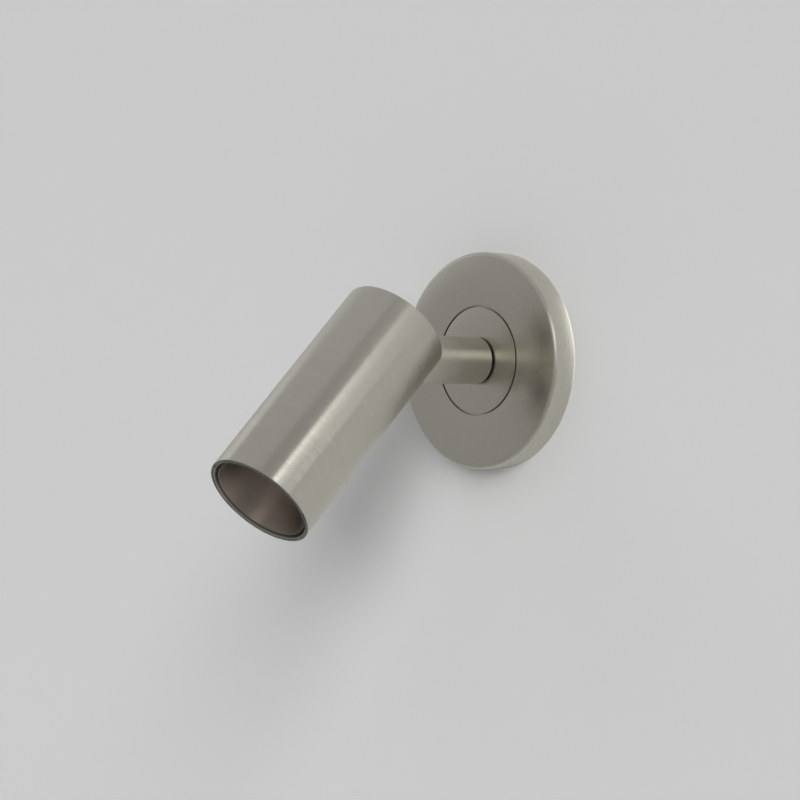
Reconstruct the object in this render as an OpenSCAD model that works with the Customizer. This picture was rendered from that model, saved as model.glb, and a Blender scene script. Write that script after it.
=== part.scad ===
// Tube wall light: a wall plate, a stem that swivels in it, and a tube head that tilts on the stem.
// The origin is the centre of the plate's back, on the wall. -Y points out of the wall and +Z points up.

/* [Wall plate] */
// Diameter of the wall plate
plate_d = 110; // [106:1:130]
// How far the wall plate stands out of the wall
plate_depth = 13.5; // [13.5:0.5:20]
// Thickness of the plate's side wall
plate_wall = 2.5; // [2:0.1:3]
// Thickness of the plate's front
plate_front = 3.5; // [3.2:0.1:4]
// Radius of the plate's soft front edge
plate_round = 2; // [1:0.1:2.4]

/* [Centre disc] */
// Diameter of the flush centre disc
disc_d = 54; // [52:0.5:58]
// Width of the gap round the disc
disc_gap = 1; // [0.5:0.05:1.2]
// Thickness of the disc
disc_t = 2; // [1.5:0.1:2.4]
// Diameter of the hub behind the disc
hub_d = 26; // [25:0.5:28]
// Distance from the disc's front to the hub's back
hub_depth = 4.5; // [4:0.1:4.5]
// Depth of the threaded spigot behind the disc
spigot_depth = 3.5; // [3.5:0.1:4]
// Wall of the threaded spigot
spigot_wall = 3; // [2:0.1:4]

/* [Swivel] */
// Outside diameter of the hollow nipple that the stem turns on
nipple_d = 16; // [14:0.5:17]
// Bore of the nipple
nipple_bore = 10; // [8:0.5:11]
// Wall of the plastic bush round the nipple
bush_wall = 1; // [0.8:0.1:1.4]
// Shadow gap between the disc and the stem, filled by the bush's flange
shadow_gap = 1.2; // [0.8:0.1:1.6]
// How far the flange stays inside the stem's outside
flange_inset = 1.4; // [0.8:0.1:1.8]
// Thickness of the swivel nut
swivel_nut_t = 2.2; // [1.8:0.1:2.4]
// Width of the swivel nut across its flats
swivel_nut_af = 22; // [20:0.5:23]

/* [Stem] */
// Outside diameter of the stem
stem_d = 24; // [20:0.5:26]
// Wall of the stem tube
stem_wall = 2; // [1.5:0.1:2.5]
// Distance from the wall to the tilt pivot
pivot_out = 86; // [82:1:110]
// Thickness of the stem tube's closed end
stem_end_t = 5; // [4:0.5:8]

/* [Tilt joint] */
// Width of the knuckle's tongue
tongue_w = 12; // [10:0.5:13]
// Radius of the eye on the tongue
eye_r = 10; // [8:0.5:10]
// Distance from the pivot to the knuckle's shoulder
shoulder_back = 16; // [15:0.5:18]
// Diameter of the pivot bolt
bolt_d = 5; // [4:0.5:6]
// Thickness of each friction washer
friction_t = 0.9; // [0.6:0.1:1]
// Thickness of each cheek of the carrier
cheek_t = 2; // [1.5:0.1:2]
// Tilt of the head below straight out, as in the photograph
head_tilt = 45; // [0:1:90]

/* [Head] */
// Outside diameter of the head tube
head_d = 55; // [50:0.5:58]
// Wall of the head tube
head_wall = 2; // [1.6:0.1:2]
// Length of the head tube
head_length = 119; // [118:1:140]
// Distance from the tube's rear end to the pivot
pivot_back = 22; // [21:0.5:26]
// Radius on the tube's rear edge
head_round = 0.8; // [0.4:0.1:1]
// Clearance of the stem in the tube's slot
slot_gap = 0.5; // [0.4:0.1:1]
// Thickness of the rear cap
cap_t = 2; // [1.5:0.1:3]

/* [Lamp and baffle] */
// Gap between the lamp and the tube's bore, which leaves a lamp of 50 mm
lamp_gap = 0.5; // [0.4:0.05:1]
// Length of the lamp without its pins
lamp_length = 46.5; // [45:0.5:48]
// Diameter of the lamp holder
holder_d = 25; // [24:0.5:28]
// Height of the lamp holder
holder_h = 14; // [13:0.5:15]
// Distance between the lamp's two pins
pin_spacing = 10; // [10:0.1:10.2]
// How far the baffle sits inside the mouth
baffle_inset = 0.8; // [0.4:0.1:2]
// Gap between the baffle and the tube's bore
baffle_gap = 1.1; // [0.8:0.1:1.5]
// Wall of the baffle at the mouth
baffle_lip = 0.9; // [0.6:0.1:1.2]
// Radius of the baffle's narrow end
baffle_throat_r = 19.5; // [17:0.5:20]

/* [Backplate] */
// Diameter of the backplate
back_d = 94; // [90:1:96]
// Thickness of the backplate
back_t = 1.5; // [1.2:0.1:1.6]
// Distance between the two wall screws
wall_screw_spacing = 60; // [56:1:66]
// Length of each wall screw slot
wall_slot_length = 12; // [8:1:14]
// Width of each wall screw slot
wall_slot_w = 4.5; // [4:0.1:5]
// Bore of the cable grommet
grommet_bore = 8; // [6:0.5:8]

/* [Terminal block] */
// Distance between the poles of the terminal block
pole_pitch = 8; // [8:0.5:9]
// Width of the terminal block across its poles
block_w = 13; // [12:0.5:15]
// Height of the terminal block
block_h = 6.2; // [6:0.1:6.3]
// Outside diameter of the leads
lead_d = 1.6; // [1.2:0.1:1.8]

/* [Hidden] */
$fn = 96;

// Clearances and the overrun of cuts
run_gap = 0.05;
fit_gap = 0.05;
loose_gap = 0.3;
cut = 1;
pole_count = 3;

// Radii that several pieces share
plate_r = plate_d / 2;
plate_bore_r = plate_r - plate_wall;
disc_r = disc_d / 2;
disc_seat_r = disc_r + disc_gap;
nipple_r = nipple_d / 2;
bush_r = nipple_r + run_gap + bush_wall;
stem_r = stem_d / 2;
stem_bore_r = stem_r - stem_wall;
head_r = head_d / 2;
head_bore_r = head_r - head_wall;
bolt_r = bolt_d / 2;
lead_r = lead_d / 2;
hub_r = hub_d / 2;

// Heights above the wall
ledge_back = plate_depth - plate_front;
disc_back = plate_depth - disc_t;
hub_back = plate_depth - hub_depth;
spigot_back = disc_back - spigot_depth;
stem_base = plate_depth + shadow_gap;

// Disc spigot, its ring nut and the ledge that they clamp
ledge_w = 4.75;
ledge_bore_r = disc_seat_r - ledge_w;
spigot_r = ledge_bore_r - loose_gap;
ring_nut_w = 4.2;
ring_nut_r = spigot_r + fit_gap + ring_nut_w;
ring_nut_back = spigot_back + fit_gap * 2;
ring_notch_w = 3;
ring_notch_count = 4;

// Swivel stack behind the hub
tab_washer_t = 1;
tab_washer_front = hub_back - run_gap;
tab_washer_back = tab_washer_front - tab_washer_t;
tab_washer_w = 1.5;
tab_w = 2;
tab_reach = 2.7;
swivel_spring_t = 0.8;
swivel_spring_back = tab_washer_back - swivel_spring_t;
swivel_nut_back = swivel_spring_back - swivel_nut_t;
nipple_proud = 0.95;
nipple_back = swivel_nut_back - nipple_proud;
nipple_front = stem_base + stem_end_t;
stop_pin_r = 1;
stop_pin_orbit = nipple_r + run_gap + tab_washer_w + tab_reach / 2;
stop_pin_seat = 2.3;
stop_pin_proud = 0.85;
spring_split_w = 1.2;

// Backplate, its tabs and the screws in them
back_r = back_d / 2;
tab_half_w = 8;
tab_gap = 2.5;
tab_out = plate_bore_r - tab_gap;
tab_height = 9;
tab_screw_up = 5.5;
plate_screw_r = 1.95;
plate_screw_inset = 0.4;
plate_screw_length = 8;
socket_r = 1.15;
socket_depth = 2;
screw_hole_gap = 0.15;

// Cable entry
grommet_out = 17;
grommet_wall = 1;
grommet_flange_w = 1.5;
grommet_flange_t = 1.9;
grommet_r = grommet_bore / 2 + grommet_wall;
grommet_flange_r = grommet_r + grommet_flange_w;

// Terminal block: its middle pole lies block_out to the left of the centre
block_out = 34;
block_end = 4;
block_length = pole_pitch * (pole_count - 1) + block_end * 2;
sleeve_r = 1.9;
sleeve_bore_r = 1.2;
sleeve_up = 2.6;
sleeve_short = 0.5;
terminal_screw_r = 1.2;
terminal_screw_sunk = 0.2;
terminal_screw_tip = sleeve_up + lead_r + run_gap;
block_screw_r = 1.2;
block_screw_head_r = 1.9;
block_screw_head_t = 1;
block_screw_sunk = 0.3;
block_screw_tip = 0.2;

// Earth point
earth_up = 17;
earth_screw_r = 1.9;
earth_head_r = 3.4;
earth_head_t = 2;
earth_lug_t = 0.8;
earth_lug_r = 3.6;
earth_tail = 5;
earth_tail_w = 3;

// Knuckle
spigot_length = 22;
knuckle_flange_t = 4;
knuckle_shoulder = pivot_out - shoulder_back;
knuckle_flange_back = knuckle_shoulder - knuckle_flange_t;
knuckle_back = knuckle_flange_back - spigot_length;
knuckle_bore_r = 7.5;
knuckle_bore_stop = 2;
lead_hole_r = 1.6;
lead_hole_out = 8.7;
earth_hole_depth = 6;
knuckle_screw_r = 1.45;
knuckle_screw_back = 8;
knuckle_screw_length = 3.6;
knuckle_screw_inset = 0.3;
knuckle_socket_r = 0.85;
knuckle_socket_depth = 1.5;

// Carrier in the head, measured from the tube's rear end
cheek_in = tongue_w / 2 + friction_t + run_gap * 2;
cheek_out = cheek_in + cheek_t;
cheek_r = 9;
slot_r = stem_r + slot_gap;
carrier_back = pivot_back + slot_r;
carrier_t = 2;
carrier_front = carrier_back + carrier_t;
carrier_gap = 0.3;
carrier_r = head_bore_r - carrier_gap;
carrier_rim_w = 1.8;
carrier_rim_h = 9;
carrier_screw_up = 4.5;
carrier_screw_r = 1.45;
carrier_screw_head_r = 2.7;
carrier_screw_length = 5.8;
carrier_screw_inset = 0.2;
carrier_screw_angle = 25;
cross_w = 0.7;
cross_length = 3;
cross_depth = 0.8;
cap_inset = 0.6;
cap_skirt_w = 1.5;
cap_skirt_h = 5.4;

// Pivot bolt, its washers and its nut
bolt_head_r = 4.5;
bolt_head_t = 2.6;
bolt_socket_r = 1.75;
bolt_socket_depth = 1.5;
bolt_end = 0.8;
pivot_spring_t = 0.8;
pivot_nut_t = 4;
pivot_nut_af = 8;
friction_r = 8;

// Leads beside the pivot, one on each side, which meet along the pivot's axis, so that the tilt only twists them
lead_side = [cheek_out + bolt_head_t + lead_r + loose_gap,
    cheek_out + pivot_spring_t + pivot_nut_t + bolt_end + lead_r + loose_gap];
lead_turn = 1.2;
lead_straight = 0.4;
lead_start_pitch = 2;
lead_meet = 9;
lead_meet_gap = 0.1;
lead_floor = back_t + loose_gap + lead_r;
lead_hole_side = 16.5;
lead_entry_up = 3.8;
lead_grommet_bore_r = 1;
lead_grommet_r = 2.15;
lead_grommet_flange_r = 3;
lead_grommet_flange_t = 0.6;

// Lamp holder, contacts and pins
pin_out = pin_spacing / 2;
pin_hole_r = 2.6;
pin_hole_depth = 8;
pin_shank_r = 1.6;
pin_head_r = 2.4;
pin_head_t = 2;
pin_length = 7;
contact_r = 2.2;
contact_h = 5.1;
contact_up = 1.6;
holder_lead_r = 1.2;
holder_screw_out = 7.5;
holder_screw_r = 1.45;
holder_screw_head_r = 2.6;
holder_screw_head_t = 1.8;
holder_screw_in = 7;
holder_front = carrier_front + holder_h;

// Lamp
lamp_back = holder_front + fit_gap;
lamp_front = lamp_back + lamp_length;
lamp_r = head_bore_r - lamp_gap;
lamp_base_r = 13;
lamp_base_h = 9.5;
lamp_flare_h = 20;
lamp_wall = 1.5;
lamp_floor_r = 14.5;
board_r = 15;
board_t = 1.2;
board_led_w = 3;
board_led_t = 0.8;
board_led_orbit = 8;
board_led_count = 6;
lens_t = 2;
lens_sunk = 0.3;

// Baffle
baffle_front = head_length - baffle_inset;
baffle_back = lamp_front + loose_gap;
baffle_r = head_bore_r - baffle_gap;
baffle_straight = 9;
baffle_step = 0.4;
ring_h = 2;

// A place on the wall unit: local z runs out of the wall, local y runs up
module off_wall() rotate([90, 0, 0]) children();
// A place in the head: local z runs from the tube's rear end to its mouth, local -y faces the wall
module in_head() translate([0, -pivot_out, 0]) rotate([90 + head_tilt, 0, 0]) translate([0, 0, -pivot_back]) children();
// A round bar from height a to height b
module bar(r, a, b) translate([0, 0, a]) cylinder(r = r, h = b - a);
// A round ring from height a to height b
module ring(r, bore, a, b) difference() {
    bar(r, a, b);
    bar(bore, a - cut, b + cut);
}
// A hexagon bar of a width across its flats
module hex_bar(af, a, b) translate([0, 0, a]) cylinder(r = af / 2 / cos(30), h = b - a, $fn = 6);
// A bar along X from a to b, at a height
module cross_bar(r, a, b, up) translate([a, 0, up]) rotate([0, 90, 0]) cylinder(r = r, h = b - a);
// A screw socket with six sides, cut down from a height
module socket(r, depth, top) translate([0, 0, top - depth]) cylinder(r = r, h = depth + cut, $fn = 6);
// A cross recess, cut down from a height
module cross_recess(top) for (a = [0, 90]) rotate([0, 0, a])
    translate([-cross_length / 2, -cross_w / 2, top - cross_depth]) cube([cross_length, cross_w, cross_depth + cut]);

// Tubes along a smooth route
function unit(v) = v / norm(v);
function bend(a, b, c, d, t) = ((b * 2) + (c - a) * t + (a * 2 - b * 5 + c * 4 - d) * t * t
    + (b * 3 - a - c * 3 + d) * t * t * t) / 2;
function route(p, steps) = let (n = len(p) - 1) concat([for (i = [0 : n - 1], k = [0 : steps - 1])
    bend(p[max(i - 1, 0)], p[i], p[i + 1], p[min(i + 2, n)], k / steps)], [p[n]]);
function headings(q) = let (n = len(q) - 1) [for (i = [0 : n]) unit(q[min(i + 1, n)] - q[max(i - 1, 0)])];
function sides(h, first) = [for (i = 0, u = first; i < len(h);
    u = let (w = h[min(i + 1, len(h) - 1)]) unit(u - (u * w) * w), i = i + 1) u];
lead_sides = 8;
lead_steps = 3;
module lead(points, first) {
    q = route(points, lead_steps);
    h = headings(q);
    u = sides(h, first);
    n = len(q);
    rings = [for (i = [0 : n - 1], k = [0 : lead_sides - 1]) let (a = k * 360 / lead_sides)
        q[i] + lead_r * (cos(a) * u[i] + sin(a) * cross(h[i], u[i]))];
    walls = [for (i = [0 : n - 2], k = [0 : lead_sides - 1]) let (j = (k + 1) % lead_sides, b = i * lead_sides)
        each [[b + k, b + j, b + lead_sides + j], [b + k, b + lead_sides + j, b + lead_sides + k]]];
    ends = [for (k = [1 : lead_sides - 2]) each [[0, k + 1, k],
        [(n - 1) * lead_sides, (n - 1) * lead_sides + k, (n - 1) * lead_sides + k + 1]]];
    polyhedron(rings, [for (f = concat(walls, ends)) [f[2], f[1], f[0]]]);
}

// Wall unit
module wall_plate() color([0.50, 0.50, 0.47]) off_wall() difference() {
    rotate_extrude() union() {
        square([plate_r, plate_depth - plate_round]);
        square([plate_r - plate_round, plate_depth]);
        translate([plate_r - plate_round, plate_depth - plate_round]) circle(r = plate_round);
    }
    bar(plate_bore_r, -cut, ledge_back);
    bar(disc_seat_r, disc_back, plate_depth + cut);
    bar(ledge_bore_r, ledge_back - cut, plate_depth);
    for (side = [0, 180]) rotate([0, 0, side]) translate([0, plate_r + cut, tab_screw_up]) rotate([90, 0, 0])
        cylinder(r = plate_screw_r + screw_hole_gap, h = plate_wall + cut * 2);
}
module centre_disc() color([0.50, 0.50, 0.47]) off_wall() difference() {
    union() {
        bar(disc_r, disc_back, plate_depth);
        ring(spigot_r, spigot_r - spigot_wall, spigot_back, disc_back + fit_gap);
        bar(hub_r, hub_back, plate_depth);
    }
    bar(bush_r + fit_gap, hub_back - cut, plate_depth + cut);
    translate([0, stop_pin_orbit, 0]) bar(stop_pin_r + fit_gap, hub_back - cut, hub_back + stop_pin_seat + fit_gap);
}
module disc_ring_nut() color([0.62, 0.60, 0.55]) off_wall() difference() {
    ring(ring_nut_r, spigot_r + fit_gap, ring_nut_back, ledge_back);
    for (k = [0 : ring_notch_count - 1]) rotate([0, 0, k * 360 / ring_notch_count])
        translate([ring_nut_r - ring_nut_w / 3, -ring_notch_w / 2, ring_nut_back - cut])
            cube([ring_nut_w, ring_notch_w, ledge_back - ring_nut_back + cut * 2]);
}
module swivel_bush() color([0.08, 0.08, 0.08]) off_wall() difference() {
    union() {
        bar(bush_r, hub_back, plate_depth);
        bar(stem_r - flange_inset, plate_depth, stem_base - run_gap);
    }
    bar(nipple_r + run_gap, hub_back - cut, stem_base + cut);
}
module swivel_stop_pin() color([0.55, 0.55, 0.55]) off_wall()
    translate([0, stop_pin_orbit, 0]) bar(stop_pin_r, hub_back - stop_pin_proud, hub_back + stop_pin_seat);
module backplate() color([0.66, 0.67, 0.68]) off_wall() difference() {
    union() {
        bar(back_r, 0, back_t);
        for (side = [0, 180]) rotate([0, 0, side]) {
            translate([-tab_half_w, 0, 0]) cube([tab_half_w * 2, tab_out, back_t]);
            translate([-tab_half_w, tab_out - back_t, 0]) cube([tab_half_w * 2, back_t, tab_height]);
        }
    }
    for (side = [0, 180]) rotate([0, 0, side]) {
        for (end = [-1, 1]) translate([0, wall_screw_spacing / 2 + end * (wall_slot_length - wall_slot_w) / 2, 0])
            bar(wall_slot_w / 2, -cut, back_t + cut);
        translate([-wall_slot_w / 2, wall_screw_spacing / 2 - (wall_slot_length - wall_slot_w) / 2, -cut])
            cube([wall_slot_w, wall_slot_length - wall_slot_w, back_t + cut * 2]);
        translate([0, tab_out + cut, tab_screw_up]) rotate([90, 0, 0])
            cylinder(r = plate_screw_r + fit_gap, h = back_t + cut * 2);
    }
    translate([grommet_out, 0, 0]) bar(grommet_r + fit_gap, -cut, back_t + cut);
    translate([0, earth_up, 0]) bar(earth_screw_r + fit_gap, -cut, back_t + cut);
    for (k = [-1, 1]) translate([-block_out + k * pole_pitch / 2, 0, 0])
        bar(block_screw_r + fit_gap, -cut, back_t + cut);
}
module plate_screws() color([0.60, 0.60, 0.60]) off_wall() for (side = [0, 180]) rotate([0, 0, side])
    translate([0, plate_r - plate_screw_inset - plate_screw_length, tab_screw_up]) rotate([-90, 0, 0]) difference() {
        cylinder(r = plate_screw_r, h = plate_screw_length);
        socket(socket_r, socket_depth, plate_screw_length);
    }
module cable_grommet() color([0.10, 0.10, 0.10]) off_wall() translate([grommet_out, 0, 0]) difference() {
    union() {
        bar(grommet_r, 0, back_t);
        bar(grommet_flange_r, back_t, back_t + grommet_flange_t);
    }
    bar(grommet_bore / 2, -cut, back_t + grommet_flange_t + cut);
}
module at_poles() for (k = [0 : pole_count - 1])
    translate([-block_out + (k - (pole_count - 1) / 2) * pole_pitch, 0, back_t]) children();
module at_terminal_screws() at_poles() for (end = [-1, 1]) translate([0, end * block_w / 4, 0]) children();
module at_block_screws() for (k = [-1, 1]) translate([-block_out + k * pole_pitch / 2, 0, back_t]) children();
module along_pole(r, length) translate([0, length / 2, sleeve_up]) rotate([90, 0, 0]) cylinder(r = r, h = length);
module terminal_block() color([0.90, 0.90, 0.86]) off_wall() difference() {
    translate([-block_out - block_length / 2, -block_w / 2, back_t]) cube([block_length, block_w, block_h]);
    at_poles() along_pole(sleeve_r + fit_gap, block_w + cut * 2);
    at_terminal_screws() bar(terminal_screw_r + fit_gap, sleeve_up, block_h + cut);
    at_block_screws() bar(block_screw_r + fit_gap, -cut, block_h + cut);
    at_block_screws() bar(block_screw_head_r + fit_gap, block_h - block_screw_sunk - block_screw_head_t, block_h + cut);
}
module terminal_sleeves() color([0.78, 0.62, 0.30]) off_wall() {
    at_poles() difference() {
        along_pole(sleeve_r, block_w - sleeve_short * 2);
        along_pole(sleeve_bore_r, block_w + cut * 2);
        for (end = [-1, 1]) translate([0, end * block_w / 4, 0]) bar(terminal_screw_r + fit_gap, sleeve_up, block_h);
    }
}
module terminal_screws() color([0.70, 0.70, 0.70]) off_wall() at_terminal_screws() difference() {
    bar(terminal_screw_r, terminal_screw_tip, block_h - terminal_screw_sunk);
    translate([-terminal_screw_r - cut, -cross_w / 2, block_h - terminal_screw_sunk - cross_depth])
        cube([(terminal_screw_r + cut) * 2, cross_w, cross_depth + cut]);
}
module terminal_block_screws() color([0.70, 0.70, 0.70]) off_wall() at_block_screws() difference() {
    union() {
        bar(block_screw_r, block_screw_tip - back_t, block_h - block_screw_sunk - block_screw_head_t);
        bar(block_screw_head_r, block_h - block_screw_sunk - block_screw_head_t, block_h - block_screw_sunk);
    }
    translate([-block_screw_head_r - cut, -cross_w / 2, block_h - block_screw_sunk - block_screw_head_t / 2])
        cube([(block_screw_head_r + cut) * 2, cross_w, block_screw_head_t + cut]);
}
module earth_lug() color([0.78, 0.62, 0.30]) off_wall() translate([0, earth_up, 0]) difference() {
    union() {
        bar(earth_lug_r, back_t, back_t + earth_lug_t);
        translate([-earth_lug_r - earth_tail, -earth_tail_w / 2, back_t])
            cube([earth_lug_r + earth_tail, earth_tail_w, earth_lug_t]);
    }
    bar(earth_screw_r + fit_gap, back_t - cut, back_t + earth_lug_t + cut);
}
module earth_screw() color([0.78, 0.62, 0.30]) off_wall() translate([0, earth_up, 0]) difference() {
    union() {
        bar(earth_screw_r, block_screw_tip, back_t + earth_lug_t);
        bar(earth_head_r, back_t + earth_lug_t, back_t + earth_lug_t + earth_head_t);
    }
    cross_recess(back_t + earth_lug_t + earth_head_t);
}
module plate_leads() color([0.35, 0.30, 0.28]) off_wall() for (k = [0 : pole_count - 1]) {
    y = (1 - k) * lead_start_pitch;
    pole = -block_out + ((pole_count - 1) / 2 - k) * pole_pitch;
    low = -block_w / 2 - (2.25 + k) * lead_start_pitch;
    turn = (k / 2 - 2.5) * lead_start_pitch;
    up = back_t + sleeve_up;
    lead([[0, y, lead_meet], [0, y, lead_floor + lead_d * 1.7], [-lead_d * 0.5, y, lead_floor + lead_d * 0.5],
        [-lead_d * 1.5, y, lead_floor], [turn, y, lead_floor],
        [turn + (low - y) / 2, (y + low) / 2, lead_floor], [turn + low - y, low, lead_floor],
        [pole + lead_d * 2, low, lead_floor + lead_r / 2], [pole + lead_r, low + lead_r, (lead_floor + up) / 2],
        [pole, -block_w / 2 - lead_d, up], [pole, -block_w / 2 + sleeve_short + lead_d, up]], [0, 1, 0]);
}
module earth_lead() color([0.45, 0.50, 0.20]) off_wall()
    let (pole = -block_out - (pole_count - 1) / 2 * pole_pitch, tail = earth_lug_r + earth_tail,
            up = back_t + sleeve_up)
        lead([[-tail - lead_meet_gap, earth_up, lead_floor], [-tail - lead_d * 3, earth_up, lead_floor],
            [-block_out + block_end, block_w + lead_d, lead_floor + lead_r], [pole + lead_d, block_w - lead_r, up],
            [pole, block_w / 2 + lead_d, up], [pole, block_w / 2 - sleeve_short - lead_d, up]], [0, 1, 0]);

// Stem
module swivel_nipple() color([0.70, 0.66, 0.50]) off_wall() ring(nipple_r, nipple_bore / 2, nipple_back, nipple_front);
module swivel_tab_washer() color([0.66, 0.66, 0.66]) off_wall() difference() {
    union() {
        bar(nipple_r + run_gap + tab_washer_w, tab_washer_back, tab_washer_front);
        translate([-tab_w / 2, -nipple_r - tab_washer_w - tab_reach, tab_washer_back])
            cube([tab_w, tab_washer_w + tab_reach, tab_washer_t]);
    }
    bar(nipple_r + run_gap, tab_washer_back - cut, tab_washer_front + cut);
}
module swivel_spring_washer() color([0.60, 0.60, 0.60]) off_wall() difference() {
    ring(nipple_r + run_gap + tab_washer_w, nipple_r + run_gap, swivel_spring_back, tab_washer_back);
    translate([0, -spring_split_w / 2, swivel_spring_back - cut])
        cube([nipple_d, spring_split_w, swivel_spring_t + cut * 2]);
}
module swivel_nut() color([0.72, 0.66, 0.45]) off_wall() difference() {
    hex_bar(swivel_nut_af, swivel_nut_back, swivel_spring_back);
    bar(nipple_r + fit_gap, swivel_nut_back - cut, swivel_spring_back + cut);
}
module stem_tube() color([0.55, 0.55, 0.52]) off_wall() difference() {
    bar(stem_r, stem_base, knuckle_flange_back);
    bar(stem_bore_r, nipple_front, knuckle_flange_back + cut);
    bar(nipple_r + fit_gap, stem_base - cut, nipple_front + cut);
    translate([0, -stem_bore_r + cut, knuckle_back + knuckle_screw_back]) rotate([90, 0, 0])
        cylinder(r = knuckle_screw_r + fit_gap, h = stem_wall + cut * 2);
}
module stem_knuckle() color([0.55, 0.55, 0.52]) off_wall() difference() {
    union() {
        bar(stem_bore_r - fit_gap, knuckle_back, knuckle_flange_back);
        bar(stem_r, knuckle_flange_back, knuckle_shoulder);
        translate([-tongue_w / 2, -eye_r, knuckle_flange_back]) cube([tongue_w, eye_r * 2, pivot_out - knuckle_flange_back]);
        cross_bar(eye_r, -tongue_w / 2, tongue_w / 2, pivot_out);
    }
    bar(knuckle_bore_r, knuckle_back - cut, knuckle_flange_back - knuckle_bore_stop);
    cross_bar(bolt_r + run_gap, -tongue_w, tongue_w, pivot_out);
    for (side = [-1, 1]) translate([side * lead_hole_out, 0, 0])
        bar(lead_hole_r, knuckle_flange_back - knuckle_bore_stop * 3, knuckle_shoulder + cut);
    translate([0, -(knuckle_bore_r + stem_bore_r) / 2, 0])
        bar(lead_r + fit_gap, knuckle_back - cut, knuckle_back + earth_hole_depth);
    translate([0, -knuckle_bore_r, knuckle_back + knuckle_screw_back]) rotate([90, 0, 0])
        cylinder(r = knuckle_screw_r + fit_gap, h = stem_r);
}
module knuckle_screw() color([0.45, 0.45, 0.45]) off_wall()
    translate([0, -stem_r + knuckle_screw_inset + knuckle_screw_length, knuckle_back + knuckle_screw_back])
        rotate([90, 0, 0]) difference() {
            cylinder(r = knuckle_screw_r, h = knuckle_screw_length);
            socket(knuckle_socket_r, knuckle_socket_depth, knuckle_screw_length);
        }
module stem_leads() color([0.35, 0.30, 0.28]) off_wall() {
    start = lead_meet + lead_meet_gap;
    for (k = [0, 1]) let (side = 1 - k * 2, y = (1 - k) * lead_start_pitch, far = lead_side[k])
        lead([[0, y, start], [0, y, nipple_front], [side * lead_start_pitch / 2, y / 2, knuckle_back],
            [side * lead_start_pitch * 1.5, 0, (knuckle_back + knuckle_flange_back) / 2 - knuckle_bore_stop * 2],
            [side * (knuckle_bore_r - lead_r - loose_gap), 0, knuckle_flange_back - knuckle_bore_stop * 3],
            [side * lead_hole_out, 0, knuckle_flange_back], [side * lead_hole_out, 0, knuckle_shoulder],
            [side * cheek_out + side * lead_d, 0, knuckle_shoulder + shoulder_back * 0.3],
            [side * far, 0, pivot_out - bolt_head_r - lead_r], [side * far, 0, pivot_out - lead_turn],
            for (j = [0 : 2]) [side * (far + lead_turn + j * lead_straight), 0, pivot_out]], [0, 1, 0]);
    lead([[0, -lead_start_pitch, start], [0, -lead_start_pitch, nipple_front],
        [0, -lead_start_pitch * 2, (nipple_front + knuckle_back) / 2],
        [0, -(knuckle_bore_r + stem_bore_r) / 2 + lead_d, knuckle_back - lead_d * 4],
        for (z = [-lead_d * 2, -lead_r, earth_hole_depth - fit_gap])
            [0, -(knuckle_bore_r + stem_bore_r) / 2, knuckle_back + z]], [1, 0, 0]);
}

// Head
module stem_slot() {
    translate([-slot_r, -head_r - cut, -cut]) cube([slot_r * 2, head_r + cut, pivot_back + cut]);
    translate([0, 0, pivot_back]) rotate([90, 0, 0]) cylinder(r = slot_r, h = head_r + cut);
}
module at_carrier_screws() for (side = [-1, 1]) rotate([0, 0, side * carrier_screw_angle])
    translate([0, -head_r, carrier_front + carrier_screw_up]) rotate([90, 0, 0]) children();
module carrier_screw_shape(gap) {
    translate([0, 0, -carrier_screw_length - gap]) cylinder(r = carrier_screw_r + gap, h = carrier_screw_length);
    translate([0, 0, -carrier_screw_inset - carrier_screw_head_r + carrier_screw_r])
        cylinder(r1 = carrier_screw_r + gap, r2 = carrier_screw_head_r + gap,
            h = carrier_screw_head_r - carrier_screw_r);
}
module head_tube() color([0.57, 0.57, 0.53]) in_head() difference() {
    rotate_extrude() union() {
        translate([0, head_round]) square([head_r, head_length - head_round]);
        square([head_r - head_round, head_length]);
        translate([head_r - head_round, head_round]) circle(r = head_round);
    }
    bar(head_bore_r, -cut, head_length + cut);
    intersection() {
        stem_slot();
        translate([-head_r, -head_r - cut, -cut]) cube([head_d, head_r, head_length]);
    }
    at_carrier_screws() carrier_screw_shape(fit_gap);
    at_carrier_screws() bar(carrier_screw_head_r + fit_gap, -carrier_screw_inset, cut);
}
module rear_cap() color([0.50, 0.50, 0.47]) in_head() difference() {
    union() {
        bar(head_bore_r - fit_gap, cap_inset, cap_inset + cap_t);
        ring(head_bore_r - fit_gap, head_bore_r - cap_skirt_w, cap_inset, cap_inset + cap_t + cap_skirt_h);
    }
    bar(slot_r, -cut, cap_inset + cap_t + cut);
    translate([-slot_r, -head_r, -cut]) cube([slot_r * 2, head_r, pivot_back]);
}
module lamp_carrier() color([0.62, 0.62, 0.62]) in_head() difference() {
    union() {
        bar(carrier_r, carrier_back, carrier_front);
        ring(carrier_r, carrier_r - carrier_rim_w, carrier_back, carrier_front + carrier_rim_h);
        for (side = [-1, 1]) {
            translate([side * (cheek_in + cheek_out) / 2 - cheek_t / 2, -cheek_r, pivot_back])
                cube([cheek_t, cheek_r * 2, carrier_front - pivot_back]);
            cross_bar(cheek_r, side * (cheek_in + cheek_out) / 2 - cheek_t / 2,
                side * (cheek_in + cheek_out) / 2 + cheek_t / 2, pivot_back);
        }
    }
    cross_bar(bolt_r + fit_gap, -cheek_out - cut, cheek_out + cut, pivot_back);
    for (side = [-1, 1]) {
        translate([side * lead_hole_side, 0, 0]) bar(lead_grommet_r + fit_gap, carrier_back - cut, carrier_front + cut);
        translate([0, side * holder_screw_out, 0]) bar(holder_screw_r + fit_gap, carrier_back - cut, carrier_front + cut);
    }
    at_carrier_screws() carrier_screw_shape(fit_gap);
}
module carrier_screws() color([0.50, 0.50, 0.48]) in_head() at_carrier_screws() difference() {
    carrier_screw_shape(0);
    cross_recess(-carrier_screw_inset);
}
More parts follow.
